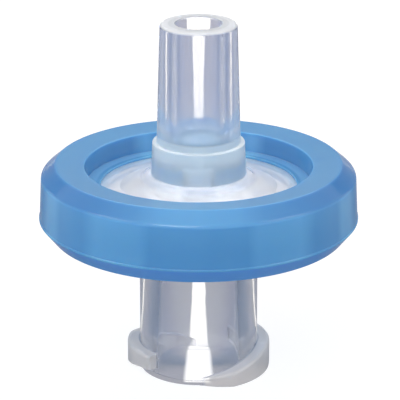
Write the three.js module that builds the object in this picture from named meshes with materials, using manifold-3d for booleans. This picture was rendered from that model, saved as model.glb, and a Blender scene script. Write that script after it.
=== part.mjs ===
// Syringe filter of the 13 mm class, standing on its inlet rim.
// Liquid enters the female luer lock at the bottom, passes the membrane and
// leaves through the male luer slip at the top. Two clear mouldings clamp the
// membrane, and a coloured ring is moulded round their rims to seal them.
//
// Millimetres, +Z up. The axis of the filter is Z, and z = 0 is the inlet rim.

import * as THREE from "three";
import { mergeVertices } from "three/addons/utils/BufferGeometryUtils.js";
import Module from "manifold-3d";

// ---- driving dimensions ----------------------------------------------------

const segments = 72;                // facets round each turned surface
const mouldedGap = 0.02;            // hairline left between pieces that seat on each other
const luerTaper = 0.06;             // change of diameter per length of every luer cone

// membrane, and the clamped and welded margins round it
const membraneDiameter = 10.20;
const membraneThickness = 0.15;
const clampWidth = 0.25;            // margin of the membrane held between the housings
const pocketClearance = 0.05;       // round the edge of the membrane
const weldWidth = 1.20;             // rim of the housings outside the membrane

// inlet housing: female luer lock below, shallow dish above
const inletMouthDiameter = 4.30;
const inletMouthChamfer = 0.10;
const inletTubeWall = 0.92;         // at the mouth
const inletTubeLength = 7.95;       // rim to the underside of the dish
const inletDiscThickness = 0.85;
const inletChamberDepth = 0.30;
const inletFloorThickness = 1.10;   // between the luer cone and the chamber
const inletPortDiameter = 1.60;
const inletRibCount = 8;
const inletRibWidth = 0.40;
const inletRibClearance = 0.50;     // from the port to the ribs

// the two lock lugs on the inlet rim
const lugCount = 2;
const lugHeight = 0.66;             // out from the tube
const lugLead = 5.0;                // climb per turn
const lugSweep = 134;               // degrees, lead-in included
const lugLeadIn = 28;               // degrees over which the lug grows out of the tube
const lugStartAngle = -88;          // degrees from +X to the first point of the first lug
const lugStartTop = 0.41;           // height of the upper flank at the first point
const lugTop = 1.45;                // height of the upper flank once it runs level
const lugUnderStart = 76;           // degrees from the first point to where the underside climbs
const lugUnderTop = 0.65;           // height of the underside once it runs level
const lugUpperBevel = 0.16;         // off the outer edge of the upper flank
const lugLowerBevel = 0.04;         // off the outer edge of the underside
const lugStepAngle = 4;             // degrees between sections

// outlet housing: flat plate, conical hub, collar and male luer
const outletPlateThickness = 0.91;
const coneRun = 1.58;               // radial width of the conical hub
const coneRise = 0.72;
const collarLand = 0.215;           // step from the luer to the collar
const collarDraft = 0.08;           // the collar grows by this much towards its foot
const collarHeight = 1.68;
const luerLength = 6.22;
const luerTipDiameter = 3.94;
const luerTipFillet = 0.18;
const filletSteps = 4;
const luerBoreDiameter = 2.31;
const luerBoreFloorHeight = 0.06;   // of the bore's floor above the collar
const luerBoreBevel = 0.215;        // round the floor of the bore, inwards
const luerBoreBevelRise = 0.25;
const outletPortDiameter = 0.56;
const wellTopDiameter = 1.10;
const wellBottomDiameter = 1.50;
const wellDepth = 1.97;
const drainDepth = 0.25;
const drainWidth = 0.60;
const drainPitch = 1.20;
const drainClearance = 0.85;        // from the edge of the well to the first drain
const crossDrainWidth = 1.80;
const crossDrainCount = 4;

// ring moulded round both rims
const ringWall = 1.94;              // outside the rims
const ringWallDraft = 0.14;         // the wall leans in by this much towards the top
const ringBottomLip = 0.45;         // below the inlet dish
const ringBottomOverlap = 0.70;     // of the bottom lip under the rim
const ringBevelWidth = 0.64;        // of the bevel under the wall
const ringBevelHeight = 0.79;
const ringShoulderWidth = 0.88;     // of the bowed shoulder above the wall
const ringShoulderHeight = 0.63;
const ringShoulderBow = 0.05;       // how far the shoulder stands out from a straight bevel
const ringShoulderSteps = 4;
const ringTopFall = 0.13;           // the top face falls by this much to the recess
const ringTopLip = 0.13;            // thickness of the lip that lies on the plate
const ringTopOverlap = 1.25;        // of that lip over the rim
const recessLedge = 0.73;           // width of the lip that shows inside the recess
const recessDepth = 1.00;           // from the top face to that lip
const recessDraft = 0.08;           // the recess widens by this much towards the top

// ---- sizes and heights that follow from them ---------------------------------

const filterRadius = membraneDiameter / 2 - clampWidth;
const pocketRadius = membraneDiameter / 2 + pocketClearance;
const rimRadius = membraneDiameter / 2 + weldWidth;
const inletMouthRadius = inletMouthDiameter / 2;
const inletTubeRadius = inletMouthRadius + inletTubeWall;
const collarTopRadius = (luerTipDiameter + luerTaper * luerLength) / 2 + collarLand;
const collarBaseRadius = collarTopRadius + collarDraft;

const dishUnderside = inletTubeLength;
const dishTop = dishUnderside + inletDiscThickness;
const chamberFloor = dishTop - inletChamberDepth;
const inletConeTop = chamberFloor - inletFloorThickness;
const rimSeat = dishTop + mouldedGap;
const membraneTop = rimSeat + membraneThickness;
const plateUnderside = membraneTop + mouldedGap;
const plateTop = plateUnderside + outletPlateThickness;
const collarBase = plateTop + coneRise;
const collarTop = collarBase + collarHeight;
const tipTop = collarTop + luerLength;
const ringBottom = dishUnderside - ringBottomLip;
const ringLipUnderside = plateTop + mouldedGap;
const ringLipTop = ringLipUnderside + ringTopLip;
const ringTop = ringLipTop + recessDepth + ringTopFall;

// ---- helpers ---------------------------------------------------------------

const wasm = await Module();
wasm.setup();

const degrees = (angle) => angle * Math.PI / 180;

// Points on a round of the (radius, height) plane, from facing outwards to facing
// upwards, both ends included.
function round(centreR, centreZ, radius, steps) {
  return Array.from({ length: steps + 1 }, (_, i) => {
    const angle = degrees(90 * i / steps);
    return [centreR + radius * Math.cos(angle), centreZ + radius * Math.sin(angle)];
  });
}

// Points from one [radius, height] point to another, bowed out to the right of the
// way they run, both ends included.
function bowed(from, to, bow, steps) {
  const run = [to[0] - from[0], to[1] - from[1]];
  const length = Math.hypot(...run);
  return Array.from({ length: steps + 1 }, (_, i) => {
    const share = i / steps;
    const out = bow * Math.sin(Math.PI * share) / length;
    return [from[0] + share * run[0] + out * run[1], from[1] + share * run[1] - out * run[0]];
  });
}

// Turns a closed outline of [radius, height] points, given anticlockwise, about Z.
function turned(outline) {
  const closed = [...outline, outline[0]].map(([r, z]) => new THREE.Vector2(r, z));
  return new THREE.LatheGeometry(closed, segments).rotateX(Math.PI / 2);
}

// A bar lying along X from radius "from" to radius "to", turned to an angle about Z.
function radialBar(from, to, width, bottom, top, angle) {
  const bar = new THREE.BoxGeometry(to - from, width, top - bottom);
  bar.translate((from + to) / 2, 0, (bottom + top) / 2);
  return bar.rotateZ(angle);
}

function toSolid(geometry) {
  const bare = geometry.clone();
  bare.deleteAttribute("normal");
  bare.deleteAttribute("uv");
  const merged = mergeVertices(bare);
  return new wasm.Manifold(new wasm.Mesh({
    numProp: 3,
    vertProperties: Float32Array.from(merged.attributes.position.array),
    triVerts: Uint32Array.from(merged.index.array),
  }));
}

function toGeometry(solid) {
  const mesh = solid.getMesh();
  const geometry = new THREE.BufferGeometry();
  geometry.setAttribute("position", new THREE.BufferAttribute(mesh.vertProperties, 3));
  geometry.setIndex(new THREE.BufferAttribute(mesh.triVerts, 1));
  geometry.computeVertexNormals();
  return geometry;
}

function piece(name, geometry, material) {
  const mesh = new THREE.Mesh(geometry, material);
  mesh.name = name;
  return mesh;
}

// ---- inlet housing -----------------------------------------------------------

function inletBody() {
  const portRadius = inletPortDiameter / 2;
  const coneRadius = (height) => inletMouthRadius - luerTaper * height / 2;
  return turned([
    [inletMouthRadius + inletMouthChamfer, 0],
    [inletTubeRadius - lugLowerBevel, 0],
    [inletTubeRadius, lugLowerBevel],
    [inletTubeRadius, dishUnderside],
    [rimRadius, dishUnderside],
    [rimRadius, dishTop],
    [filterRadius, dishTop],
    [filterRadius, chamberFloor],
    [portRadius, chamberFloor],
    [portRadius, inletConeTop],
    [coneRadius(inletConeTop), inletConeTop],
    [coneRadius(inletMouthChamfer), inletMouthChamfer],
  ]);
}

// Section of a lug at an angle past its first point: how far it stands out,
// and the heights of its underside and its upper flank.
function lugSection(angle) {
  const climb = lugLead / 360;
  const grown = Math.min(1, angle / lugLeadIn);
  return {
    radius: inletTubeRadius + grown * lugHeight,
    bottom: Math.min(lugUnderTop, Math.max(0, climb * (angle - lugUnderStart))),
    top: Math.min(lugTop, lugStartTop + climb * angle),
  };
}

function lug(turn) {
  const root = (inletTubeRadius + inletMouthRadius) / 2;
  const count = Math.round(lugSweep / lugStepAngle);
  const positions = [];
  for (let i = 0; i <= count; i += 1) {
    const angle = lugSweep * i / count;
    const { radius, bottom, top } = lugSection(angle);
    const spin = degrees(lugStartAngle + angle) + turn;
    const section = [
      [root, bottom],
      [radius - lugLowerBevel, bottom],
      [radius, bottom + lugLowerBevel],
      [radius, top - lugUpperBevel],
      [radius - lugUpperBevel, top],
      [root, top],
    ];
    for (const [r, z] of section) {
      positions.push(r * Math.cos(spin), r * Math.sin(spin), z);
    }
  }
  const corners = positions.length / 3 / (count + 1);
  const faces = [];
  for (let i = 0; i < count; i += 1) {
    for (let k = 0; k < corners; k += 1) {
      const near = i * corners + k;
      const side = i * corners + (k + 1) % corners;
      faces.push(near, near + corners, side, side, near + corners, side + corners);
    }
  }
  const last = count * corners;
  for (let k = 1; k < corners - 1; k += 1) {
    faces.push(0, k, k + 1, last, last + k + 1, last + k);
  }
  const geometry = new THREE.BufferGeometry();
  geometry.setAttribute("position", new THREE.Float32BufferAttribute(positions, 3));
  geometry.setIndex(faces);
  return geometry;
}

function inletHousing() {
  let body = toSolid(inletBody());
  for (let i = 0; i < lugCount; i += 1) {
    body = body.add(toSolid(lug(2 * Math.PI * i / lugCount)));
  }
  const ribStart = inletPortDiameter / 2 + inletRibClearance;
  const ribEnd = (filterRadius + rimRadius) / 2;
  const ribRoot = (chamberFloor + dishUnderside) / 2;
  for (let i = 0; i < inletRibCount; i += 1) {
    const angle = 2 * Math.PI * (i + 0.5) / inletRibCount;
    const rib = radialBar(ribStart, ribEnd, inletRibWidth, ribRoot, dishTop, angle);
    body = body.add(toSolid(rib));
  }
  return toGeometry(body);
}

// ---- membrane ------------------------------------------------------------------

function membrane() {
  const radius = membraneDiameter / 2;
  return turned([[0, rimSeat], [radius, rimSeat], [radius, membraneTop], [0, membraneTop]]);
}

// ---- outlet housing ------------------------------------------------------------

function luerTip() {
  const tipRadius = luerTipDiameter / 2;
  return [
    [collarTopRadius - collarLand, collarTop],
    ...round(tipRadius - luerTipFillet, tipTop - luerTipFillet, luerTipFillet, filletSteps),
  ];
}

// Down the bore to its floor, then through the port into the well over the membrane.
function luerBore() {
  const boreRadius = luerBoreDiameter / 2;
  const portRadius = outletPortDiameter / 2;
  const floor = collarTop + luerBoreFloorHeight;
  const wellTop = plateUnderside + wellDepth;
  return [
    [boreRadius, tipTop],
    [boreRadius, floor + luerBoreBevelRise],
    [boreRadius - luerBoreBevel, floor],
    [portRadius, floor],
    [portRadius, wellTop],
    [wellTopDiameter / 2, wellTop],
    [wellBottomDiameter / 2, plateUnderside],
  ];
}

// Underside of the plate from the well to the rim, with as many round drains as fit.
function drainedUnderside() {
  const outline = [];
  let inner = wellBottomDiameter / 2 + drainClearance;
  while (inner + drainWidth < filterRadius) {
    const outer = inner + drainWidth;
    outline.push([inner, plateUnderside], [inner, plateUnderside + drainDepth],
      [outer, plateUnderside + drainDepth], [outer, plateUnderside]);
    inner += drainPitch;
  }
  outline.push([pocketRadius, plateUnderside], [pocketRadius, rimSeat], [rimRadius, rimSeat]);
  return outline;
}

function outletBody() {
  return turned([
    ...drainedUnderside(),
    [rimRadius, plateTop],
    [collarBaseRadius + coneRun, plateTop],
    [collarBaseRadius, collarBase],
    [collarTopRadius, collarTop],
    ...luerTip(),
    ...luerBore(),
  ]);
}

function outletHousing() {
  let body = toSolid(outletBody());
  for (let i = 0; i < crossDrainCount; i += 1) {
    const drain = radialBar(wellBottomDiameter / 4, filterRadius, crossDrainWidth,
      plateUnderside - drainDepth, plateUnderside + drainDepth, 2 * Math.PI * i / crossDrainCount);
    body = body.subtract(toSolid(drain));
  }
  return toGeometry(body);
}

// ---- overmoulded ring ------------------------------------------------------------

function overmouldRing() {
  const outerRadius = rimRadius + ringWall;
  const grooveRadius = rimRadius + mouldedGap;
  const grooveBottom = dishUnderside - mouldedGap;
  const lowerOpening = rimRadius - ringBottomOverlap;
  const upperOpening = rimRadius - ringTopOverlap;
  const recessRadius = upperOpening + recessLedge;
  const wallTop = [outerRadius - ringWallDraft, ringTop - ringShoulderHeight];
  const topEdge = [outerRadius - ringShoulderWidth, ringTop];
  return turned([
    [lowerOpening, ringBottom],
    [outerRadius - ringBevelWidth, ringBottom],
    [outerRadius, ringBottom + ringBevelHeight],
    ...bowed(wallTop, topEdge, ringShoulderBow, ringShoulderSteps),
    [recessRadius + recessDraft, ringTop - ringTopFall],
    [recessRadius, ringLipTop],
    [upperOpening, ringLipTop],
    [upperOpening, ringLipUnderside],
    [grooveRadius, ringLipUnderside],
    [grooveRadius, grooveBottom],
    [lowerOpening, grooveBottom],
  ]);
}

// ---- materials and assembly --------------------------------------------------------

const clearPlastic = new THREE.MeshStandardMaterial({
  color: 0xc4cadb, roughness: 0.08, metalness: 0, transparent: true, opacity: 0.35,
});
const bluePlastic = new THREE.MeshStandardMaterial({
  color: 0x5391ca, roughness: 0.28, metalness: 0,
});
const whiteMembrane = new THREE.MeshStandardMaterial({
  color: 0xe6e9f2, roughness: 0.85, metalness: 0,
});

const filter = new THREE.Group();
filter.add(
  piece("inlet_housing", inletHousing(), clearPlastic),
  piece("membrane", membrane(), whiteMembrane),
  piece("outlet_housing", outletHousing(), clearPlastic.clone()),
  piece("overmould_ring", overmouldRing(), bluePlastic),
);

export default filter;
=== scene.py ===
import math

import bmesh
import bpy
from bpy.props import FloatProperty, FloatVectorProperty, IntProperty, PointerProperty
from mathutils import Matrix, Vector


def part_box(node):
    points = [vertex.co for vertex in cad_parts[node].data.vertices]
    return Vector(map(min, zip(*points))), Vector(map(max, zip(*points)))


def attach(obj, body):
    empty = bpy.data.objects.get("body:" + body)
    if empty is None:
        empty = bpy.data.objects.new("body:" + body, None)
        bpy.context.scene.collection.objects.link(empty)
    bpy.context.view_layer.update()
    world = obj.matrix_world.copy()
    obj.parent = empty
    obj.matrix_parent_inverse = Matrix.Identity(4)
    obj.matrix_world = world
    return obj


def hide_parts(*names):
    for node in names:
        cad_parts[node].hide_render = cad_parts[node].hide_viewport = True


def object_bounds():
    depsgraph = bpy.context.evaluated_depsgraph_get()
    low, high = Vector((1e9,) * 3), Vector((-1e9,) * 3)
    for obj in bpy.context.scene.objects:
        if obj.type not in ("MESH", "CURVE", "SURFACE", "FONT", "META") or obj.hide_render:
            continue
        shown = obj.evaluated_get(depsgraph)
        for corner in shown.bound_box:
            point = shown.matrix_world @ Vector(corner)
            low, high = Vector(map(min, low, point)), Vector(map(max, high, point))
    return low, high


bl_info = {
    "name": "Syringe filter",
    "version": (1, 0, 0),
    "blender": (4, 5, 0),
    "location": "3D View > Sidebar > Syringe filter",
    "description": "Builds the four mouldings of a small syringe filter and a plain studio round it",
    "category": "Add Mesh",
}

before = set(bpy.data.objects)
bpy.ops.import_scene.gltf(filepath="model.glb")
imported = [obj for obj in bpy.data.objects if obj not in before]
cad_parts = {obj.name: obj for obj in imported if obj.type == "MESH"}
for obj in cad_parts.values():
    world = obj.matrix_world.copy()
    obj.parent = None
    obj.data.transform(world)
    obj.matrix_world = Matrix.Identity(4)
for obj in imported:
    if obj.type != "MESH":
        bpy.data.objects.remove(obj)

MM = 0.001
CAD_BOX = [list(corner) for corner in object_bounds()]
INLET_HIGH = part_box("inlet_housing")[1]
OUTLET_LOW, OUTLET_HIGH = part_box("outlet_housing")
RING_LOW, RING_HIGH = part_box("overmould_ring")
MEMBRANE_LOW, MEMBRANE_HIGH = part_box("membrane")

TURN = 2 * math.pi
AROUND = 256                            # steps round each turned surface
CORNER_STEPS = 4                        # steps round each small edge
SHARP = math.cos(math.radians(35))      # faces that meet at a wider angle keep a crisp edge
SAME_POINT = 1e-8                       # corners closer than this are merged
LUG_EDGE_SHARE = 0.9                    # of a low lug's height that its rounded edges may take


def mm(*sizes):
    """Sizes in millimetres, as metres."""
    return tuple(size * MM for size in sizes)


# Clear plastic. A cloud starts between its first two heights over the inlet rim, and ends
# between its last two. The other pairs are heights or distances from the axis over which a
# zone gives way to the next one.
COLLAR_CLOUD = mm(10.4, 10.7, 12.60, 12.75)
COLLAR_TOP_CLOUD = mm(11.1, 12.1, 12.25, 12.45)
LUER_FOOT_CLOUD = mm(12.25, 12.45, 12.9, 16.2)
PLATE_CLOUD = mm(9.7, 9.85, 10.3, 10.5)
PLATE_MARGIN = mm(4.4, 4.8)
LUER_SKIN = mm(1.5, 1.6)
BORE_FLOOR = mm(12.30, 12.64)
BORE_FLOOR_EDGE = mm(1.16, 1.24)
TIP_START = mm(18.36, 18.46)
TIP_BORE = mm(1.17, 1.25)
LUG_FULL = 3.20 * MM                    # distance from the axis where a lug is fully cloudy
LUG_END = mm(2.2, 2.4)
DULL_MARGIN = 0.6 * MM                  # dull this far over and under the membrane
DULL_EDGE = mm(4.7, 4.9)

# Share of milk that each zone of the clear plastic has on top of its plain walls.
MILK_SHARES = {"collar": 0.40, "collar_top": 0.20, "luer": 0.09, "luer_foot": 0.08, "floor": 0.35,
               "plate": 0.26, "margin": 0.16, "lug": 0.44, "tip": 0.60}
# Painted light: the foot of the luer takes this share of the collar's painted blue, which stands in for
# the ring's light seen through the clear plastic.
LUER_FOOT_RING_LIGHT = 0.5                    # share of the collar's colour at the foot of the luer
GRAIN_ROUGHNESS = 0.04
DULL_ROUGHNESS = 0.30
LUER_FOOT_ROUGHNESS = 0.12
MILK_ROUGHNESS = 0.3
MILK_DEPTH = 0.3 * MM                   # how far light travels in the milk
PLASTIC_IOR = 1.49

# Blue ring. Pairs of heights or of distances from the axis over which a face gives way to the
# next one.
WALL_TOP = (RING_HIGH.z - 0.72 * MM, RING_HIGH.z - 0.58 * MM)
WALL_EDGE = mm(7.0, 7.2)
SHOULDER_EDGE = mm(7.2, 7.5)
RECESS_EDGE = mm(5.82, 5.90)
LIP_EDGE = mm(5.76, 5.80)
LIP_TOP = mm(10.07, 10.1)
# Painted shadow at the lip's inner rim: its edge and its foot.
RIM_SHADOW_EDGE = mm(5.20, 5.36)
RIM_SHADOW_FOOT = mm(9.5, 9.6)
WALL_GLOW = mm(8.9, 10.5)
GROOVE_MARGIN = 0.1 * MM                # below the dish
GROOVE_TOP = RING_HIGH.z - 1.24 * MM
GROOVE_WALL = (OUTLET_HIGH.x + 0.03 * MM, OUTLET_HIGH.x + 0.1 * MM)
UNDERSIDE_TOP = (RING_LOW.z + 0.74 * MM, RING_LOW.z + 0.80 * MM)

# Painted light on the ring: how pale its blue is painted, at angles in degrees from its front and back,
# standing in for reflections and for light glowing through the plastic: its wall, its shoulder, and the
# wall of its recess. Then the paleness of its top face, the painted glow that rises towards the top of
# the wall, and the mottling, which is random tone.
WALL_PAINTED_LIGHT = [(0, 0.52), (17, 0.48), (21, 0.72), (38, 0.76), (45, 0.42), (58, 0.40), (62, 0.72),
              (69, 0.72), (74, 0.40), (90, 0.45)]
SHOULDER_PAINTED_LIGHT = [(0, 0.80), (14, 0.72), (24, 0.42), (40, 0.15), (60, 0.0), (90, 0.0)]
RECESS_PAINTED_LIGHT = [(0, 0.5), (18, 0.6), (29, 0.98), (38, 0.25), (60, 0.27), (90, 0.38)]
TOP_PALENESS = 0.40
WALL_PAINTED_GLOW_SHARE = 0.16
MOTTLE = 0.16

# Shares of the groove's pale blue, which is painted light, in the lip and the top face, and of the painted
# shade in the upper faces and the shoulder.
LIP_GROOVE_SHARE = 0.26
TOP_GROOVE_SHARE = 0.07
UPPER_PAINTED_SHADE_SHARE = 0.14
SHOULDER_PAINTED_SHADE_SHARE = 0.05
RING_SHADOW = (0.50, 0.70, 0.84)        # light that the ring lets through

# Shades of the card round the object, each at an angle in degrees from straight behind it:
# close to the object, and from a few centimetres away.
NEAR_SHADES = [
    (0, (0.54, 0.53, 0.52)), (16, (0.48, 0.48, 0.49)), (26, (0.40, 0.40, 0.44)),
    (38, (0.33, 0.35, 0.41)), (48, (0.26, 0.30, 0.37)), (62, (0.22, 0.26, 0.33)),
    (75, (0.19, 0.23, 0.30)), (95, (0.28, 0.30, 0.34)), (125, (0.38, 0.38, 0.42))]
FAR_SHADES = [
    (0, (0.55, 0.54, 0.55)), (12, (0.51, 0.50, 0.55)), (22, (0.42, 0.44, 0.53)),
    (30, (0.28, 0.32, 0.44)), (42, (0.20, 0.26, 0.39)), (52, (0.45, 0.48, 0.57)),
    (66, (0.54, 0.56, 0.62)), (82, (0.60, 0.61, 0.66)), (125, (0.38, 0.38, 0.42))]
FAR_START = mm(18, 36)                  # from the axis
CARD_HEIGHT = 0.005 * MM                # of the card over the floor
BACK_SHADE = (0.42, 0.45, 0.52)

# The light gap in that card, along the line straight behind the object. Its half width grows
# with the square of the distance.
GAP_START = mm(-2.6, -2.2)
GAP_HALF_WIDTH = mm(0.55, 0.80)
GAP_GROWTH = 1.4                        # added half width, in metres, one metre behind
GAP_NEAR_LIGHT = (1.25, 1.23, 1.20)
GAP_FAR_LIGHT = (1.75, 1.66, 1.50)
GAP_FAR_START = mm(1, 6)

# Stage: greys and light of the floor where light scatters on it and where it is seen, light of
# the world, and the camera.
FLOOR_GREY = 0.55
SEEN_FLOOR_GREY = 0.30
SEEN_FLOOR_GLOW = 0.78
WORLD_FILL = 0.6
CAMERA_SHIFT = (0.0035, 0.0042)
CLIP_START = 1 * MM
CLIP_END = 10.0

# Lamps: name, degrees round from the front, degrees over the horizon, width and power.
LAMP_DISTANCE = 0.4
LAMPS = [("back_lamp", 180, 50, 0.3, 0.33), ("front_lamp", -20, 45, 0.2, 0.42),
         ("left_lamp", -75, 40, 0.2, 0.20), ("right_lamp", 75, 40, 0.2, 0.20)]


# ---- sizes and colours --------------------------------------------------------

def length(name, description, millimetres):
    return FloatProperty(name=name, description=description, default=millimetres * MM,
                         min=0.0, unit="LENGTH", subtype="DISTANCE", precision=5)


def angle(name, description, degrees):
    return FloatProperty(name=name, description=description, default=math.radians(degrees),
                         unit="ROTATION", subtype="ANGLE")


def share(name, description, value):
    return FloatProperty(name=name, description=description, default=value, min=0.0, max=1.0,
                         subtype="FACTOR")


def colour(name, description, rgb):
    return FloatVectorProperty(name=name, description=description, default=rgb, size=3,
                               min=0.0, max=1.0, subtype="COLOR")


class InletSizes(bpy.types.PropertyGroup):
    taper: share("Taper", "Change of diameter for each unit of length of a luer cone", 0.06)
    mouth_radius: length("Mouth radius", "Radius of the luer cone at the rim", 2.15)
    tube_radius: length("Tube radius", "Outside radius of the tube", 3.07)
    tube_length: length("Tube length", "From the rim to the underside of the dish", 7.95)
    chamber_radius: length("Chamber radius", "Radius of the space under the membrane", 4.85)
    chamber_depth: length("Chamber depth", "Depth of the space under the membrane", 0.30)
    floor_thickness: length("Floor thickness", "Between the luer cone and the chamber", 1.10)
    port_radius: length("Port radius", "Radius of the hole into the chamber", 0.80)
    rib_count: IntProperty(name="Ribs", description="Ribs that the membrane lies on", default=8)
    rib_width: length("Rib width", "Width of each rib in the chamber", 0.40)
    rib_clearance: length("Rib clearance", "From the port to the ribs", 0.50)
    edge: length("Edge", "Rounding of the moulded edges", 0.06)


class LugSizes(bpy.types.PropertyGroup):
    count: IntProperty(name="Lugs", description="Number of lock lugs", default=2)
    height: length("Height", "How far a lug stands out from the tube", 0.66)
    lead: length("Lead", "Climb of the thread in one turn", 5.0)
    start: angle("Start", "Angle from +X to the first point of the first lug", -88)
    sweep: angle("Sweep", "Angle that a lug covers, lead-in included", 134)
    lead_in: angle("Lead-in", "Angle over which a lug grows out of the tube", 28)
    start_top: length("Start top", "Height of the upper flank where a lug starts", 0.41)
    top: length("Top", "Height of the upper flank once it runs level", 1.45)
    under_start: angle("Underside start", "Angle into the lug where its underside climbs", 76)
    under_top: length("Underside top", "Height of the underside once it runs level", 0.65)
    upper_edge: length("Upper edge", "Rounding of the upper outer edge", 0.16)
    lower_edge: length("Lower edge", "Rounding of the lower outer edge", 0.06)
    end_edge: length("End edge", "Rounding of the upright edge at the blunt end", 0.18)


class OutletSizes(bpy.types.PropertyGroup):
    taper: share("Taper", "Change of diameter for each unit of length of a luer cone", 0.06)
    pocket_radius: length("Pocket radius", "Radius of the pocket over the membrane", 5.15)
    pocket_depth: length("Pocket depth", "From the rim face up to the underside of the plate", 0.17)
    plate_thickness: length("Plate thickness", "Thickness of the flat plate", 0.91)
    cone_run: length("Cone run", "Radial width of the conical hub", 1.58)
    cone_rise: length("Cone rise", "Height of the conical hub", 0.72)
    collar_height: length("Collar height", "Height of the collar over the hub", 1.68)
    collar_land: length("Collar land", "Width of the step between collar and luer", 0.215)
    collar_draft: length("Collar draft", "Growth of the collar's radius towards its foot", 0.08)
    tip_radius: length("Tip radius", "Radius of the luer cone at its tip", 1.97)
    tip_edge: length("Tip edge", "Rounding of the outer edge of the tip", 0.18)
    bore_radius: length("Bore radius", "Radius of the bore in the luer", 1.155)
    bore_floor: length("Bore floor", "Height of the bore's floor over the collar", 0.06)
    bore_bevel: length("Bore bevel", "Rounding of the bore's floor", 0.22)
    port_radius: length("Port radius", "Radius of the hole through the bore's floor", 0.28)
    well_top_radius: length("Well top radius", "Radius of the well at its top", 0.55)
    well_radius: length("Well radius", "Radius of the well over the membrane", 0.75)
    well_depth: length("Well depth", "Height of the well over the membrane", 1.97)
    drain_depth: length("Drain depth", "Depth of the drains in the underside", 0.25)
    drain_width: length("Drain width", "Width of each round drain", 0.60)
    drain_pitch: length("Drain pitch", "From one round drain to the next", 1.20)
    drain_clearance: length("Drain clearance", "From the well to the first round drain", 0.85)
    cross_drain_count: IntProperty(name="Cross drains", description="Straight drains", default=4)
    cross_drain_width: length("Cross drain width", "Width of each straight drain", 1.80)
    edge: length("Edge", "Rounding of the moulded edges", 0.06)


class RingSizes(bpy.types.PropertyGroup):
    wall_draft: length("Wall draft", "How far the wall leans in towards the top", 0.14)
    bottom_overlap: length("Bottom overlap", "Of the bottom lip under the rim", 0.70)
    bevel_width: length("Bevel width", "Width of the bevel under the wall", 0.64)
    bevel_height: length("Bevel height", "Height of the bevel under the wall", 0.79)
    shoulder_width: length("Shoulder width", "Width of the shoulder over the wall", 0.88)
    shoulder_height: length("Shoulder height", "Height of the shoulder over the wall", 0.63)
    top_fall: length("Top fall", "How far the top face falls towards the recess", 0.13)
    lip_thickness: length("Lip thickness", "Of the lip that lies on the plate", 0.13)
    top_overlap: length("Top overlap", "Of the top lip over the rim", 1.25)
    ledge: length("Ledge", "Width of the lip inside the recess", 0.73)
    recess_draft: length("Recess draft", "Widening of the recess towards the top", 0.08)
    gap: length("Gap", "Hairline between the ring and the housings", 0.02)
    edge: length("Edge", "Rounding of the moulded edges", 0.07)
    seam: length("Seam", "Height of the parting line round the foot of the wall", 0.07)
    soft_edge: length("Soft edge", "Rounding of the shoulder's edges", 0.30)


class Finishes(bpy.types.PropertyGroup):
    clear_colour: colour("Clear plastic", "Tint of the clear plastic", (0.95, 0.955, 0.975))
    clear_roughness: share("Clear roughness", "Roughness of the clear plastic", 0.0)
    milk_colour: colour("Milk", "Colour of the light that the clear plastic scatters", (0.62, 0.70, 0.92))
    milkiness: share("Milkiness", "Share of the light that the clear plastic scatters", 0.07)
    # Painted light: the collar, the plate's margin and the luer's foot scatter this blue, which stands in
    # for the ring's light seen through them.
    hub_ring_light_colour: colour("Hub", "Colour that the cloudy collar scatters", (0.74, 0.85, 1.0))
    # Painted shade: a blue-grey on the bore's floor that stands in for the shade and the ring's blue seen
    # through it.
    bore_floor_shade_colour: colour("Bore floor", "Colour that the bore's floor scatters", (0.34, 0.52, 0.64))
    tip_colour: colour("Tip", "Colour that the end of the luer scatters", (0.90, 0.91, 0.95))
    lug_colour: colour("Lug", "Colour that the cloudy lugs scatter", (0.92, 0.87, 0.84))
    ring_colour: colour("Ring", "Deeper blue of the ring", (0.038, 0.226, 0.565))
    # The pale bands and the glow at the top of the wall are painted light in this blue; the mottling in it
    # is random tone.
    pale_ring_colour: colour("Pale ring", "Paler blue of the ring", (0.162, 0.47, 0.81))
    under_colour: colour("Underside", "Blue of the ring's underside", (0.085, 0.35, 0.83))
    # Painted shade mixed into the ring's top face, recess, lip and shoulder, darkening them against the
    # light from above.
    upper_shade_colour: colour("Upper faces", "Duller colour mixed into the upper faces of the ring",
                       (0.17, 0.29, 0.20))
    # Painted light: a pale blue where the ring grips the housings, and in shares on the lip and the top
    # face, standing in for light that glows through the ring.
    groove_glow_colour: colour("Groove", "Blue of the ring where it grips the housings", (0.42, 0.68, 0.92))
    ring_roughness: share("Ring roughness", "Roughness of the ring", 0.12)
    ring_gloss: share("Ring gloss", "Strength of the ring's reflections", 0.5)
    ring_depth: FloatVectorProperty(
        name="Ring depth", description="How far red, green and blue light travel inside the ring",
        default=(0.3 * MM, 0.5 * MM, 0.6 * MM), size=3, min=0.0, precision=4)
    membrane_colour: colour("Membrane", "White of the membrane", (1.0, 0.94, 0.87))


class StageSizes(bpy.types.PropertyGroup):
    elevation: angle("Camera elevation", "Angle of the camera over the horizon", 19.5)
    distance: length("Camera distance", "From the camera to its target", 120.0)
    target: length("Target height", "Height of the camera's target", 9.0)
    lens: FloatProperty(name="Lens", description="Focal length", default=209.1, unit="CAMERA")
    floor: length("Floor", "Width of the floor", 4000.0)
    card: length("Card", "Width of the shaded card round the object", 800.0)


class FilterSettings(bpy.types.PropertyGroup):
    inlet: PointerProperty(type=InletSizes)
    lugs: PointerProperty(type=LugSizes)
    outlet: PointerProperty(type=OutletSizes)
    ring: PointerProperty(type=RingSizes)
    finishes: PointerProperty(type=Finishes)
    stage: PointerProperty(type=StageSizes)


def settings():
    return bpy.context.scene.syringe_filter


# ---- outlines and turned meshes --------------------------------------------------

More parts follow.
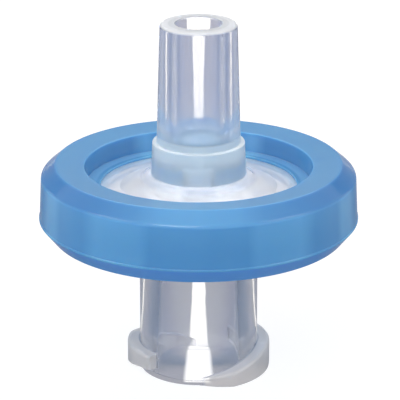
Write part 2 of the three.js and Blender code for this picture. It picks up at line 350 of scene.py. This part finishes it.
def rounded(corners):
    """A closed outline: (radius, height) corners stay sharp, and a third number rounds one."""
    outline = []
    for i, (r, z, *rounding) in enumerate(corners):
        here = Vector((r, z))
        before = Vector(corners[i - 1][:2]) - here
        after = Vector(corners[(i + 1) % len(corners)][:2]) - here
        if not rounding:
            outline.append((r, z))
            continue
        rounding = rounding[0]
        if rounding <= 0:
            outline += [(r, z)] * (CORNER_STEPS + 1)
            continue
        half = before.angle(after) / 2
        back = rounding / math.tan(half)
        start = before.normalized() * back
        end = after.normalized() * back
        middle = (start + end).normalized() * (rounding / math.sin(half))
        sweep_from = start - middle
        turn = sweep_from.angle_signed(end - middle)
        for k in range(CORNER_STEPS + 1):
            step = -turn * k / CORNER_STEPS
            arm = Vector((sweep_from.x * math.cos(step) - sweep_from.y * math.sin(step),
                          sweep_from.x * math.sin(step) + sweep_from.y * math.cos(step)))
            outline.append(tuple(here + middle + arm))
    return outline


def make_piece(name, bm):
    """An object in the scene, made from a finished mesh under construction."""
    mesh = bpy.data.meshes.new(name)
    bmesh.ops.remove_doubles(bm, verts=bm.verts, dist=SAME_POINT)
    bmesh.ops.recalc_face_normals(bm, faces=bm.faces)
    bm.to_mesh(mesh)
    bm.free()
    piece = bpy.data.objects.new(name, mesh)
    bpy.context.scene.collection.objects.link(piece)
    return piece


def smooth(piece):
    """Smooth shading in which the large faces keep their own direction beside small edges."""
    mesh = piece.data
    mesh.shade_smooth()
    around = [[] for _ in mesh.vertices]
    for face in mesh.polygons:
        normal = face.normal.copy()
        weighted = normal * face.area
        for corner in face.vertices:
            around[corner].append((normal, weighted))
    normals = []
    for face in mesh.polygons:
        facing = face.normal
        for corner in face.vertices:
            near = [weighted for normal, weighted in around[corner] if normal.dot(facing) > SHARP]
            normals.append(sum(near, Vector()).normalized())
    mesh.normals_split_custom_set(normals)


def sweep(name, stations):
    """A closed skin through outlines, each at an angle about Z, all with as many points."""
    bm = bmesh.new()
    rings = []
    for turn, outline in stations:
        rings.append([bm.verts.new((r * math.cos(turn), r * math.sin(turn), z)) for r, z in outline])
    for i, ring in enumerate(rings):
        following = rings[(i + 1) % len(rings)]
        for k in range(len(ring)):
            m = (k + 1) % len(ring)
            bm.faces.new((ring[k], following[k], following[m], ring[m]))
    return make_piece(name, bm)


def turned(name, outline):
    """A closed skin turned about Z."""
    return sweep(name, [(TURN * i / AROUND, outline) for i in range(AROUND)])


def bar(name, start, end, width, bottom, top, turn):
    """A straight bar from one radius to another, turned about Z."""
    bm = bmesh.new()
    corners = [Vector((x, y, z)) for z in (bottom, top) for x, y in
               ((start, -width / 2), (end, -width / 2), (end, width / 2), (start, width / 2))]
    for corner in corners:
        x = corner.x * math.cos(turn) - corner.y * math.sin(turn)
        y = corner.x * math.sin(turn) + corner.y * math.cos(turn)
        bm.verts.new((x, y, corner.z))
    bm.verts.ensure_lookup_table()
    for face in ((0, 3, 2, 1), (4, 5, 6, 7), (0, 1, 5, 4), (1, 2, 6, 5), (2, 3, 7, 6), (3, 0, 4, 7)):
        bm.faces.new([bm.verts[k] for k in face])
    return make_piece(name, bm)


def combine(piece, tools, operation):
    """Joins the tools to the piece or cuts them from it, and removes them."""
    for tool in tools:
        modifier = piece.modifiers.new("combine", "BOOLEAN")
        modifier.operation = operation
        modifier.solver = "EXACT"
        modifier.object = tool
        bpy.context.view_layer.objects.active = piece
        bpy.ops.object.modifier_apply(modifier=modifier.name)
        bpy.data.objects.remove(tool)


def finish_piece(piece, node, material):
    """Gives a piece its material and smooth shading, hangs it on the root body, and hides the CAD solid it
    stands for.
    """
    piece.data.materials.clear()
    piece.data.materials.append(material)
    smooth(piece)
    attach(piece, "root")
    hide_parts(node)


# ---- pieces ----------------------------------------------------------------------

def lug_shape(turn):
    """How far the lug stands out at an angle past its start, and its two heights."""
    lugs = settings().lugs
    climb = lugs.lead / TURN
    standing = lugs.height * min(1.0, max(0.0, turn / lugs.lead_in))
    bottom = min(lugs.under_top, max(0.0, climb * (turn - lugs.under_start)))
    top = min(lugs.top, lugs.start_top + climb * turn)
    return standing, bottom, top


def inlet_outline(standing, bottom, top):
    """Section of the inlet housing where its lug stands out by so much."""
    inlet, lugs = settings().inlet, settings().lugs
    dish_top = INLET_HIGH.z
    rim = INLET_HIGH.x
    chamber_floor = dish_top - inlet.chamber_depth
    cone_top = chamber_floor - inlet.floor_thickness
    cone_top_radius = inlet.mouth_radius - inlet.taper * cone_top / 2
    tube = inlet.tube_radius
    upper = min(lugs.upper_edge, LUG_EDGE_SHARE * standing)
    lower = min(lugs.lower_edge, LUG_EDGE_SHARE * standing)
    edge = inlet.edge
    return rounded([
        (inlet.mouth_radius, 0, edge),
        (tube, 0, min(edge, bottom / 2)),
        (tube, bottom),
        (tube + standing, bottom, lower),
        (tube + standing, top, upper),
        (tube, top),
        (tube, inlet.tube_length, edge * 3),
        (rim, inlet.tube_length, edge),
        (rim, dish_top, edge),
        (inlet.chamber_radius, dish_top, edge),
        (inlet.chamber_radius, chamber_floor, edge),
        (inlet.port_radius, chamber_floor, edge),
        (inlet.port_radius, cone_top, edge),
        (cone_top_radius, cone_top, edge),
    ])


def build_inlet_housing():
    """The housing, with lugs that grow out of the tube and end in a rounded blunt face."""
    inlet, lugs = settings().inlet, settings().lugs
    plain = inlet_outline(0.0, lugs.under_top, lugs.top)
    end_sweep = lugs.end_edge / (inlet.tube_radius + lugs.height)
    stations = []
    for lug in range(lugs.count):
        first = lugs.start + TURN * lug / lugs.count
        steps = int(AROUND * lugs.sweep / TURN)
        for i in range(steps):
            turn = (lugs.sweep - end_sweep) * i / steps
            stations.append((first + turn, inlet_outline(*lug_shape(turn))))
        for i in range(CORNER_STEPS + 1):
            swing = math.pi / 2 * i / CORNER_STEPS
            turn = lugs.sweep - end_sweep * (1 - math.sin(swing))
            standing, bottom, top = lug_shape(turn)
            standing -= lugs.end_edge * (1 - math.cos(swing))
            stations.append((first + turn, inlet_outline(standing, bottom, top)))
        free = TURN / lugs.count - lugs.sweep
        steps = int(AROUND * free / TURN)
        for i in range(steps):
            stations.append((first + lugs.sweep + free * i / steps, plain))
    piece = sweep("inlet_housing_shell", stations)
    rib_start = inlet.port_radius + inlet.rib_clearance
    rib_end = (inlet.chamber_radius + INLET_HIGH.x) / 2
    floor = INLET_HIGH.z - inlet.chamber_depth
    ribs = [bar(f"rib_{i}", rib_start, rib_end, inlet.rib_width, floor - inlet.chamber_depth,
                INLET_HIGH.z - inlet.edge / 2, TURN * (i + 0.5) / inlet.rib_count)
            for i in range(inlet.rib_count)]
    combine(piece, ribs, "UNION")
    finish_piece(piece, "inlet_housing", clear_plastic())


def build_membrane():
    """The disc, with a small flat facet in the middle of each face."""
    radius, bottom, top = MEMBRANE_HIGH.x, MEMBRANE_LOW.z, MEMBRANE_HIGH.z
    edge = (top - bottom) / 3
    hub = radius / AROUND
    outline = rounded([(hub, bottom), (radius, bottom, edge), (radius, top, edge), (hub, top)])
    bm = bmesh.new()
    rings = [[bm.verts.new((r * math.cos(t), r * math.sin(t), z)) for r, z in outline]
             for t in (TURN * i / AROUND for i in range(AROUND))]
    for i, ring in enumerate(rings):
        following = rings[(i + 1) % AROUND]
        for k in range(len(ring) - 1):
            bm.faces.new((ring[k], following[k], following[k + 1], ring[k + 1]))
    bm.faces.new([ring[0] for ring in rings])
    bm.faces.new([ring[-1] for ring in rings])
    piece = make_piece("membrane_disc", bm)
    finish_piece(piece, "membrane", membrane_finish())


def build_outlet_housing():
    """The housing, with round drains turned in its outline and straight drains cut across."""
    outlet = settings().outlet
    edge = outlet.edge
    rim, rim_face, tip = OUTLET_HIGH.x, OUTLET_LOW.z, OUTLET_HIGH.z
    underside = rim_face + outlet.pocket_depth
    plate_top = underside + outlet.plate_thickness
    collar_base = plate_top + outlet.cone_rise
    collar_top = collar_base + outlet.collar_height
    luer_foot = outlet.tip_radius + outlet.taper * (tip - collar_top) / 2
    collar_radius = luer_foot + outlet.collar_land
    collar_foot = collar_radius + outlet.collar_draft
    chamber = settings().inlet.chamber_radius
    corners = []
    inner = outlet.well_radius + outlet.drain_clearance
    while inner + outlet.drain_width < chamber:
        outer = inner + outlet.drain_width
        corners += [(inner, underside, edge / 2), (inner, underside + outlet.drain_depth, edge),
                    (outer, underside + outlet.drain_depth, edge), (outer, underside, edge / 2)]
        inner += outlet.drain_pitch
    corners += [
        (outlet.pocket_radius, underside, edge / 2),
        (outlet.pocket_radius, rim_face, edge / 2),
        (rim, rim_face, edge),
        (rim, plate_top, edge),
        (collar_foot + outlet.cone_run, plate_top, edge * 3),
        (collar_foot, collar_base, edge),
        (collar_radius, collar_top, edge),
        (luer_foot, collar_top, edge),
        (outlet.tip_radius, tip, outlet.tip_edge),
        (outlet.bore_radius, tip, edge),
        (outlet.bore_radius, collar_top + outlet.bore_floor, outlet.bore_bevel),
        (outlet.port_radius, collar_top + outlet.bore_floor, edge),
        (outlet.port_radius, underside + outlet.well_depth, edge),
        (outlet.well_top_radius, underside + outlet.well_depth, edge),
        (outlet.well_radius, underside, edge),
    ]
    piece = turned("outlet_housing_shell", rounded(corners))
    drains = [bar(f"drain_{i}", outlet.well_radius / 2, chamber, outlet.cross_drain_width,
                  underside - outlet.drain_depth, underside + outlet.drain_depth,
                  TURN * i / outlet.cross_drain_count)
              for i in range(outlet.cross_drain_count)]
    combine(piece, drains, "DIFFERENCE")
    finish_piece(piece, "outlet_housing", clear_plastic())


def build_overmould_ring():
    """The ring, whose outline goes from its bottom lip up the outside and back down the groove."""
    ring = settings().ring
    edge, seam = ring.edge, ring.seam
    outer, bottom, top = RING_HIGH.x, RING_LOW.z, RING_HIGH.z
    rim = OUTLET_HIGH.x
    outlet = settings().outlet
    plate_top = OUTLET_LOW.z + outlet.pocket_depth + outlet.plate_thickness
    lip_under = plate_top + ring.gap
    lip_top = lip_under + ring.lip_thickness
    lower_opening = rim - ring.bottom_overlap
    upper_opening = rim - ring.top_overlap
    recess = upper_opening + ring.ledge
    groove_bottom = settings().inlet.tube_length - ring.gap
    outline = rounded([
        (lower_opening, bottom, edge),
        (outer - ring.bevel_width, bottom, edge * 2),
        (outer, bottom + ring.bevel_height, seam / 3),
        (outer, bottom + ring.bevel_height + seam, seam / 3),
        (outer - seam / 2, bottom + ring.bevel_height + 1.5 * seam, seam / 3),
        (outer - ring.wall_draft, top - ring.shoulder_height, ring.soft_edge),
        (outer - ring.shoulder_width, top, edge * 2),
        (recess + ring.recess_draft, top - ring.top_fall, edge),
        (recess, lip_top, edge / 2),
        (upper_opening, lip_top, edge / 2),
        (upper_opening, lip_under, edge / 4),
        (rim + ring.gap, lip_under, edge / 2),
        (rim + ring.gap, groove_bottom, edge / 2),
        (lower_opening, groove_bottom, edge / 4),
    ])
    piece = turned("overmould_ring_body", outline)
    finish_piece(piece, "overmould_ring", blue_plastic())


# ---- finishes ---------------------------------------------------------------------

class Value:
    """A socket that can be added, subtracted and multiplied as a number."""

    def __init__(self, nodes, socket):
        self.nodes = nodes
        self.socket = socket

    def __add__(self, other):
        return self.nodes.maths("ADD", self, other)

    def __sub__(self, other):
        return self.nodes.maths("SUBTRACT", self, other)

    def __rsub__(self, other):
        return self.nodes.maths("SUBTRACT", other, self)

    def __mul__(self, other):
        return self.nodes.maths("MULTIPLY", self, other)

    __radd__ = __add__
    __rmul__ = __mul__


class Nodes:
    """Adds nodes to one node tree."""

    def __init__(self, tree):
        self.tree = tree
        tree.nodes.clear()

    def add(self, kind, options=None, sockets=None, output=0):
        """A node of a kind: its options are set first, then the values or links of its sockets."""
        node = self.tree.nodes.new(kind)
        for key, value in (options or {}).items():
            if key == "stops":
                stops = node.color_ramp.elements
                while len(stops) < len(value):
                    stops.new(1.0)
                for stop, (position, shade) in zip(stops, value):
                    stop.position = position
                    stop.color = shade
            else:
                setattr(node, key, value)
        for key, value in (sockets or {}).items():
            if isinstance(value, Value):
                self.tree.links.new(value.socket, node.inputs[key])
            else:
                node.inputs[key].default_value = value
        return Value(self, node.outputs[output]) if node.outputs else None

    def maths(self, operation, first, second=0.0):
        return self.add("ShaderNodeMath", {"operation": operation}, {0: first, 1: second})

    def position(self):
        """Place in the object's own coordinates."""
        return self.add("ShaderNodeTexCoord", output="Object")

    def coordinate(self, axis):
        return self.add("ShaderNodeSeparateXYZ", None, {0: self.position()}, output=axis)

    def from_axis(self):
        """Distance from the axis of the object."""
        across, along = self.coordinate(0), self.coordinate(1)
        return self.maths("SQRT", across * across + along * along)

    def step(self, value, low, high):
        """0 below low, 1 above high, and a smooth climb between them."""
        return self.add("ShaderNodeMapRange", {"interpolation_type": "SMOOTHSTEP"},
                        {0: value, 1: low, 2: high})

    def cloud(self, value, start, full, fade, end):
        """0 up to start, 1 from full to fade, and 0 again from end."""
        return self.step(value, start, full) * (1 - self.step(value, fade, end))

    def band(self, value, low, high, fade=0.01 * MM):
        """1 where the value lies between low and high, 0 elsewhere."""
        return self.cloud(value, low - fade, low, high, high + fade)

    def mix(self, factor, low, high):
        """A colour between two, each a socket or three numbers."""
        first, second = (shade if isinstance(shade, Value) else rgba(shade) for shade in (low, high))
        return self.add("ShaderNodeMix", {"data_type": "RGBA"}, {0: factor, 6: first, 7: second},
                        output=2)

    def mix_shader(self, factor, low, high):
        return self.add("ShaderNodeMixShader", None, {0: factor, 1: low, 2: high})

    def ramp(self, stops, value):
        return self.add("ShaderNodeValToRGB", {"stops": stops}, {0: value})

    def bands(self, values):
        """Values at angles in degrees from the front and back of the object, up to its sides."""
        across, along = (self.maths("ABSOLUTE", self.coordinate(axis)) for axis in (0, 1))
        turn = self.maths("ARCTAN2", across, along)
        stops = [(degrees / 90, rgba((value, value, value))) for degrees, value in values]
        return self.ramp(stops, turn * (2 / math.pi))

    def noise(self, size, detail=3.0):
        """Noise between 0 and 1, with blotches of about the given size."""
        return self.add("ShaderNodeTexNoise", None,
                        {"Vector": self.position(), "Scale": 1 / size, "Detail": detail})

    def bump(self, strength, depth, size, detail=3.0):
        """Unevenness for a Normal socket, with blotches of about the given size."""
        return self.add("ShaderNodeBump", None, {
            "Strength": strength, "Distance": depth, "Height": self.noise(size, detail)})


def rgba(shade):
    return (*shade, 1.0)


def new_material(name):
    material = bpy.data.materials.new(name)
    material.use_nodes = True
    return material, Nodes(material.node_tree)


def end_with_light_through(nodes, skin, shade):
    """Ends a material that lets the light of the lamps through, in a shade."""
    through = nodes.add("ShaderNodeBsdfTransparent", None, {"Color": rgba(shade)})
    shadow = nodes.add("ShaderNodeLightPath", output="Is Shadow Ray")
    nodes.add("ShaderNodeOutputMaterial", None, {"Surface": nodes.mix_shader(shadow, skin, through)})


def clear_zones(nodes, height, reach):
    """Zones of the clear plastic that are cloudier than the rest, each 1 inside and 0 outside."""
    tube_radius = settings().inlet.tube_radius
    luer = nodes.step(height, *LUER_FOOT_CLOUD[:2]) * nodes.step(reach, *LUER_SKIN)
    plate = nodes.cloud(height, *PLATE_CLOUD)
    return {
        "collar": nodes.cloud(height, *COLLAR_CLOUD),
        "collar_top": nodes.cloud(height, *COLLAR_TOP_CLOUD),
        "luer": luer,
        "luer_foot": nodes.cloud(height, *LUER_FOOT_CLOUD) * luer,
        "floor": nodes.band(height, *BORE_FLOOR) * (1 - nodes.step(reach, *BORE_FLOOR_EDGE)),
        "plate": plate,
        "margin": plate * nodes.step(reach, *PLATE_MARGIN),
        "lug": nodes.step(reach, tube_radius, LUG_FULL) * (1 - nodes.step(height, *LUG_END)),
        "tip": nodes.step(height, *TIP_START) * nodes.step(reach, *TIP_BORE),
    }


def clear_plastic():
    """Moulded plastic with a faint milk in it, dull where it faces the membrane, with the ring's blue
    light painted into the collar, the plate's margin and the luer's foot, and painted shade on the bore's
    floor.
    """
    known = bpy.data.materials.get("clear_plastic_finish")
    if known:
        return known
    finishes = settings().finishes
    material, nodes = new_material("clear_plastic_finish")
    height, reach = nodes.coordinate(2), nodes.from_axis()
    zones = clear_zones(nodes, height, reach)
    dull = nodes.band(height, MEMBRANE_LOW.z - DULL_MARGIN, MEMBRANE_HIGH.z + DULL_MARGIN)
    dull = dull * (1 - nodes.step(reach, *DULL_EDGE))
    roughness = (nodes.noise(0.5 * MM) * GRAIN_ROUGHNESS + dull * DULL_ROUGHNESS
                 + zones["luer_foot"] * LUER_FOOT_ROUGHNESS + finishes.clear_roughness)
    # Painted light: the ring's blue light is painted into the collar, the plate's margin and the luer's
    # foot.
    hub = zones["collar"] + zones["margin"] + zones["luer_foot"] * LUER_FOOT_RING_LIGHT
    tint = nodes.mix(hub, finishes.milk_colour, finishes.hub_ring_light_colour)
    # Painted shade: blue-grey on the bore's floor for the shade and the ring's blue seen through it.
    tint = nodes.mix(zones["floor"], tint, finishes.bore_floor_shade_colour)
    tint = nodes.mix(zones["tip"] + zones["plate"] - zones["margin"], tint, finishes.tip_colour)
    tint = nodes.mix(zones["lug"], tint, finishes.lug_colour)
    milkiness = finishes.milkiness
    for name, share_of_milk in MILK_SHARES.items():
        milkiness = milkiness + zones[name] * share_of_milk
    clear = nodes.add("ShaderNodeBsdfPrincipled", None, {
        "Base Color": rgba(finishes.clear_colour), "Roughness": roughness, "IOR": PLASTIC_IOR,
        "Transmission Weight": 1.0, "Normal": nodes.bump(0.15, 0.05 * MM, 1.2 * MM, 2.0)})
    milk = nodes.add("ShaderNodeBsdfPrincipled", None, {
        "Base Color": tint, "Roughness": MILK_ROUGHNESS, "IOR": PLASTIC_IOR,
        "Subsurface Weight": 1.0, "Subsurface Radius": (1.0, 1.0, 1.0),
        "Subsurface Scale": MILK_DEPTH})
    skin = nodes.mix_shader(milkiness, clear, milk)
    end_with_light_through(nodes, skin, finishes.clear_colour)
    return material


def ring_shade(nodes):
    """Blue of the ring: its faces differ in how pale they are painted, standing in for reflections, glow
    and shade, and in how much of the groove's painted pale blue shows; a painted shadow lines the lip's
    inner rim.
    """
    finishes = settings().finishes
    height, reach = nodes.coordinate(2), nodes.from_axis()
    upper = nodes.step(height, *WALL_TOP)
    inside = 1 - nodes.step(reach, *RECESS_EDGE)
    shoulder = upper * nodes.step(reach, *SHOULDER_EDGE)
    top = (upper - shoulder) * (1 - inside)
    wall = (1 - upper) * nodes.step(reach, *WALL_EDGE)
    lip = (1 - nodes.step(reach, *LIP_EDGE)) * (1 - nodes.step(height, *LIP_TOP))
    # Painted shadow: a darker line at the lip's inner rim, where the groove's pale blue is left out.
    painted_rim_shadow = (1 - nodes.step(reach, *RIM_SHADOW_EDGE)) * nodes.step(height, *RIM_SHADOW_FOOT)
    groove = nodes.band(height, settings().inlet.tube_length - GROOVE_MARGIN, GROOVE_TOP)
    groove = groove * (1 - nodes.step(reach, *GROOVE_WALL))
    underside = 1 - nodes.step(height, *UNDERSIDE_TOP)

    # Painted light: pale bands at angles round the ring stand in for reflections and for light glowing
    # through it; the mottle is random tone.
    pale = (wall * nodes.bands(WALL_PAINTED_LIGHT) + shoulder * nodes.bands(SHOULDER_PAINTED_LIGHT)
            + inside * nodes.bands(RECESS_PAINTED_LIGHT) + top * TOP_PALENESS)
    pale = pale + nodes.noise(2.5 * MM, 2.0) * MOTTLE - MOTTLE / 2
    # Painted glow: the wall's blue is painted paler towards its top.
    pale = pale + wall * nodes.step(height, *WALL_GLOW) * WALL_PAINTED_GLOW_SHARE
    shade = nodes.mix(pale, finishes.ring_colour, finishes.pale_ring_colour)
    # Painted shade on the top face, recess, lip and shoulder, against the light from above.
    dull = (top + inside + lip) * UPPER_PAINTED_SHADE_SHARE + shoulder * SHOULDER_PAINTED_SHADE_SHARE
    shade = nodes.mix(dull, shade, finishes.upper_shade_colour)
    shade = nodes.mix(underside, shade, finishes.under_colour)
    # Painted glow of the groove's pale blue, with shares on the lip and the top face; the lip's inner rim
    # is left out of it.
    painted_groove_glow = (groove + lip * LIP_GROOVE_SHARE) * (1 - painted_rim_shadow) + top * TOP_GROOVE_SHARE
    return nodes.mix(painted_groove_glow, shade, finishes.groove_glow_colour)


def blue_plastic():
    """Translucent blue moulded plastic with a soft gloss, and light and shade painted into its blue."""
    finishes = settings().finishes
    material, nodes = new_material("blue_plastic_finish")
    skin = nodes.add("ShaderNodeBsdfPrincipled", None, {
        "Base Color": ring_shade(nodes), "Roughness": finishes.ring_roughness, "IOR": PLASTIC_IOR,
        "Specular IOR Level": finishes.ring_gloss, "Subsurface Weight": 1.0,
        "Subsurface Radius": finishes.ring_depth, "Subsurface Scale": 1.0,
        "Normal": nodes.bump(0.05, 0.05 * MM, 0.6 * MM)})
    end_with_light_through(nodes, skin, RING_SHADOW)
    return material


def membrane_finish():
    """White porous sheet."""
    material, nodes = new_material("membrane_finish")
    skin = nodes.add("ShaderNodeBsdfPrincipled", None, {
        "Base Color": rgba(settings().finishes.membrane_colour), "Roughness": 0.9,
        "Normal": nodes.bump(0.3, 0.01 * MM, 0.05 * MM, 4.0)})
    nodes.add("ShaderNodeOutputMaterial", None, {"Surface": skin})
    return material


# ---- stage ------------------------------------------------------------------------

def seen_directly(nodes):
    """1 for rays from the camera, from gloss and from clear parts, 0 for light that scatters."""
    camera, glossy, through = (nodes.add("ShaderNodeLightPath", output=name) for name in
                               ("Is Camera Ray", "Is Glossy Ray", "Is Transmission Ray"))
    return nodes.maths("MINIMUM", camera + glossy + through, 1.0)


def sheet(name, corners):
    """A flat sheet between corners."""
    bm = bmesh.new()
    bm.faces.new([bm.verts.new(corner) for corner in corners])
    return make_piece(name, bm)


def emission(nodes, shade, strength=1.0):
    """A shader that glows in a shade, given as a socket or three numbers."""
    shade = shade if isinstance(shade, Value) else rgba(shade)
    return nodes.add("ShaderNodeEmission", None, {"Color": shade, "Strength": strength})


def grey(nodes, value):
    """A matt grey shader."""
    return nodes.add("ShaderNodeBsdfDiffuse", None, {"Color": rgba((value, value, value))})


def build_floor():
    """The floor: grey for the light that scatters on it, and nearly white where it is seen."""
    half = settings().stage.floor / 2
    floor = sheet("studio_floor", ((-half, -half, 0), (half, -half, 0), (half, half, 0), (-half, half, 0)))
    material, nodes = new_material("floor_finish")
    skin = grey(nodes, FLOOR_GREY)
    glow = emission(nodes, (1, 1, 1), SEEN_FLOOR_GLOW)
    seen = nodes.add("ShaderNodeAddShader", None, {0: grey(nodes, SEEN_FLOOR_GREY), 1: glow})
    nodes.add("ShaderNodeOutputMaterial", None, {
        "Surface": nodes.mix_shader(seen_directly(nodes), skin, seen)})
    floor.data.materials.append(material)


def finish_card(card, material):
    """Gives a card its material, and shows it in gloss and clear parts only."""
    card.data.materials.append(material)
    card.visible_camera = False
    card.visible_diffuse = False
    card.visible_shadow = False
    card.visible_volume_scatter = False


def build_card():
    """A round card on the floor, seen only in gloss and clear parts: shaded sectors and a light gap."""
    bm = bmesh.new()
    bmesh.ops.create_circle(bm, cap_ends=True, segments=64, radius=settings().stage.card / 2)
    bmesh.ops.translate(bm, verts=bm.verts, vec=(0, 0, CARD_HEIGHT))
    card = make_piece("shaded_card", bm)
    material, nodes = new_material("card_finish")
    along = nodes.coordinate(1)
    aside = nodes.maths("ABSOLUTE", nodes.coordinate(0))
    turn = nodes.maths("ARCTAN2", aside, along) * (1 / math.pi)
    near, far = (nodes.ramp([(degrees / 180, rgba(shade)) for degrees, shade in shades], turn)
                 for shades in (NEAR_SHADES, FAR_SHADES))
    sectors = nodes.mix(nodes.step(nodes.from_axis(), *FAR_START), near, far)
    behind = nodes.maths("MAXIMUM", along, 0.0)
    past_gap = aside - GAP_GROWTH * behind * behind
    gap = (1 - nodes.step(past_gap, *GAP_HALF_WIDTH)) * nodes.step(along, *GAP_START)
    light = nodes.mix(nodes.step(along, *GAP_FAR_START), GAP_NEAR_LIGHT, GAP_FAR_LIGHT)
    lit = emission(nodes, nodes.mix(gap, sectors, light))
    nodes.add("ShaderNodeOutputMaterial", None, {"Surface": lit})
    finish_card(card, material)


def build_back_card():
    """A grey card behind the object, seen only in gloss and clear parts."""
    material, nodes = new_material("back_card_finish")
    nodes.add("ShaderNodeOutputMaterial", None, {"Surface": emission(nodes, BACK_SHADE)})
    half = settings().stage.card / 2
    card = sheet("back_card", ((-half, half, 0), (half, half, 0), (half, half, half), (-half, half, half)))
    finish_card(card, material)


def build_world():
    """A plain world: a soft fill for the object, and white where it is seen."""
    world = bpy.data.worlds.new("studio_world")
    bpy.context.scene.world = world
    world.use_nodes = True
    nodes = Nodes(world.node_tree)
    fill, white = (nodes.add("ShaderNodeBackground", None, {"Color": (1, 1, 1, 1), "Strength": strength})
                   for strength in (WORLD_FILL, 1.0))
    nodes.add("ShaderNodeOutputWorld", None, {
        "Surface": nodes.mix_shader(seen_directly(nodes), fill, white)})


def direction(azimuth, elevation):
    """Towards an angle round from the front and an angle over the horizon."""
    return Vector((math.sin(azimuth) * math.cos(elevation),
                   -math.cos(azimuth) * math.cos(elevation), math.sin(elevation)))


def place(name, data, target, away, distance):
    """An object in the scene that faces its target from a distance."""
    thing = bpy.data.objects.new(name, data)
    thing.location = target + away * distance
    thing.rotation_mode = "QUATERNION"
    thing.rotation_quaternion = (-away).to_track_quat("-Z", "Y")
    bpy.context.scene.collection.objects.link(thing)
    return thing


def add_lamp(name, azimuth, elevation, width, power):
    """A square soft lamp that faces the middle of the object."""
    data = bpy.data.lights.new(name, "AREA")
    data.energy = power
    data.size = width
    centre = (Vector(CAD_BOX[0]) + Vector(CAD_BOX[1])) / 2
    away = direction(math.radians(azimuth), math.radians(elevation))
    place(name, data, centre, away, LAMP_DISTANCE)


def build_camera():
    stage = settings().stage
    data = bpy.data.cameras.new("camera")
    data.lens = stage.lens
    data.shift_x, data.shift_y = CAMERA_SHIFT
    data.clip_start = CLIP_START
    data.clip_end = CLIP_END
    target = Vector((0, 0, stage.target))
    bpy.context.scene.camera = place("camera", data, target, direction(0, stage.elevation), stage.distance)


def build_stage():
    build_camera()
    build_floor()
    build_card()
    build_back_card()
    build_world()
    for lamp in LAMPS:
        add_lamp(*lamp)
    bpy.context.scene.view_settings.view_transform = "Standard"


# ---- add-on -----------------------------------------------------------------------

class FILTER_OT_inlet_housing(bpy.types.Operator):
    """Builds the clear inlet housing with its luer lock"""
    bl_idname = "syringe_filter.inlet_housing"
    bl_label = "Inlet housing"

    def execute(self, context):
        build_inlet_housing()
        return {"FINISHED"}


class FILTER_OT_membrane(bpy.types.Operator):
    """Builds the white membrane"""
    bl_idname = "syringe_filter.membrane"
    bl_label = "Membrane"

    def execute(self, context):
        build_membrane()
        return {"FINISHED"}


class FILTER_OT_outlet_housing(bpy.types.Operator):
    """Builds the clear outlet housing with its luer tip"""
    bl_idname = "syringe_filter.outlet_housing"
    bl_label = "Outlet housing"

    def execute(self, context):
        build_outlet_housing()
        return {"FINISHED"}


class FILTER_OT_overmould_ring(bpy.types.Operator):
    """Builds the blue ring moulded round the housings"""
    bl_idname = "syringe_filter.overmould_ring"
    bl_label = "Overmoulded ring"

    def execute(self, context):
        build_overmould_ring()
        return {"FINISHED"}


class FILTER_OT_stage(bpy.types.Operator):
    """Builds the camera, the floor, the cards, the world and the lamps"""
    bl_idname = "syringe_filter.stage"
    bl_label = "Stage"

    def execute(self, context):
        build_stage()
        return {"FINISHED"}


OPERATORS = (FILTER_OT_inlet_housing, FILTER_OT_membrane, FILTER_OT_outlet_housing,
             FILTER_OT_overmould_ring, FILTER_OT_stage)


class FILTER_PT_panel(bpy.types.Panel):
    """Lists the pieces of the syringe filter and the stage"""
    bl_idname = "FILTER_PT_panel"
    bl_label = "Syringe filter"
    bl_space_type = "VIEW_3D"
    bl_region_type = "UI"
    bl_category = "Syringe filter"

    def draw(self, context):
        for operator in OPERATORS:
            self.layout.operator(operator.bl_idname)


GROUPS = (InletSizes, LugSizes, OutletSizes, RingSizes, Finishes, StageSizes, FilterSettings)


def register():
    for cls in (*GROUPS, *OPERATORS, FILTER_PT_panel):
        bpy.utils.register_class(cls)
    bpy.types.Scene.syringe_filter = PointerProperty(type=FilterSettings)


def unregister():
    del bpy.types.Scene.syringe_filter
    for cls in reversed((*GROUPS, *OPERATORS, FILTER_PT_panel)):
        bpy.utils.unregister_class(cls)


def main():
    """Builds the pieces and the stage in order."""
    register()
    for operator in OPERATORS:
        group, name = operator.bl_idname.split(".")
        getattr(getattr(bpy.ops, group), name)()


if __name__ == "__main__":
    main()
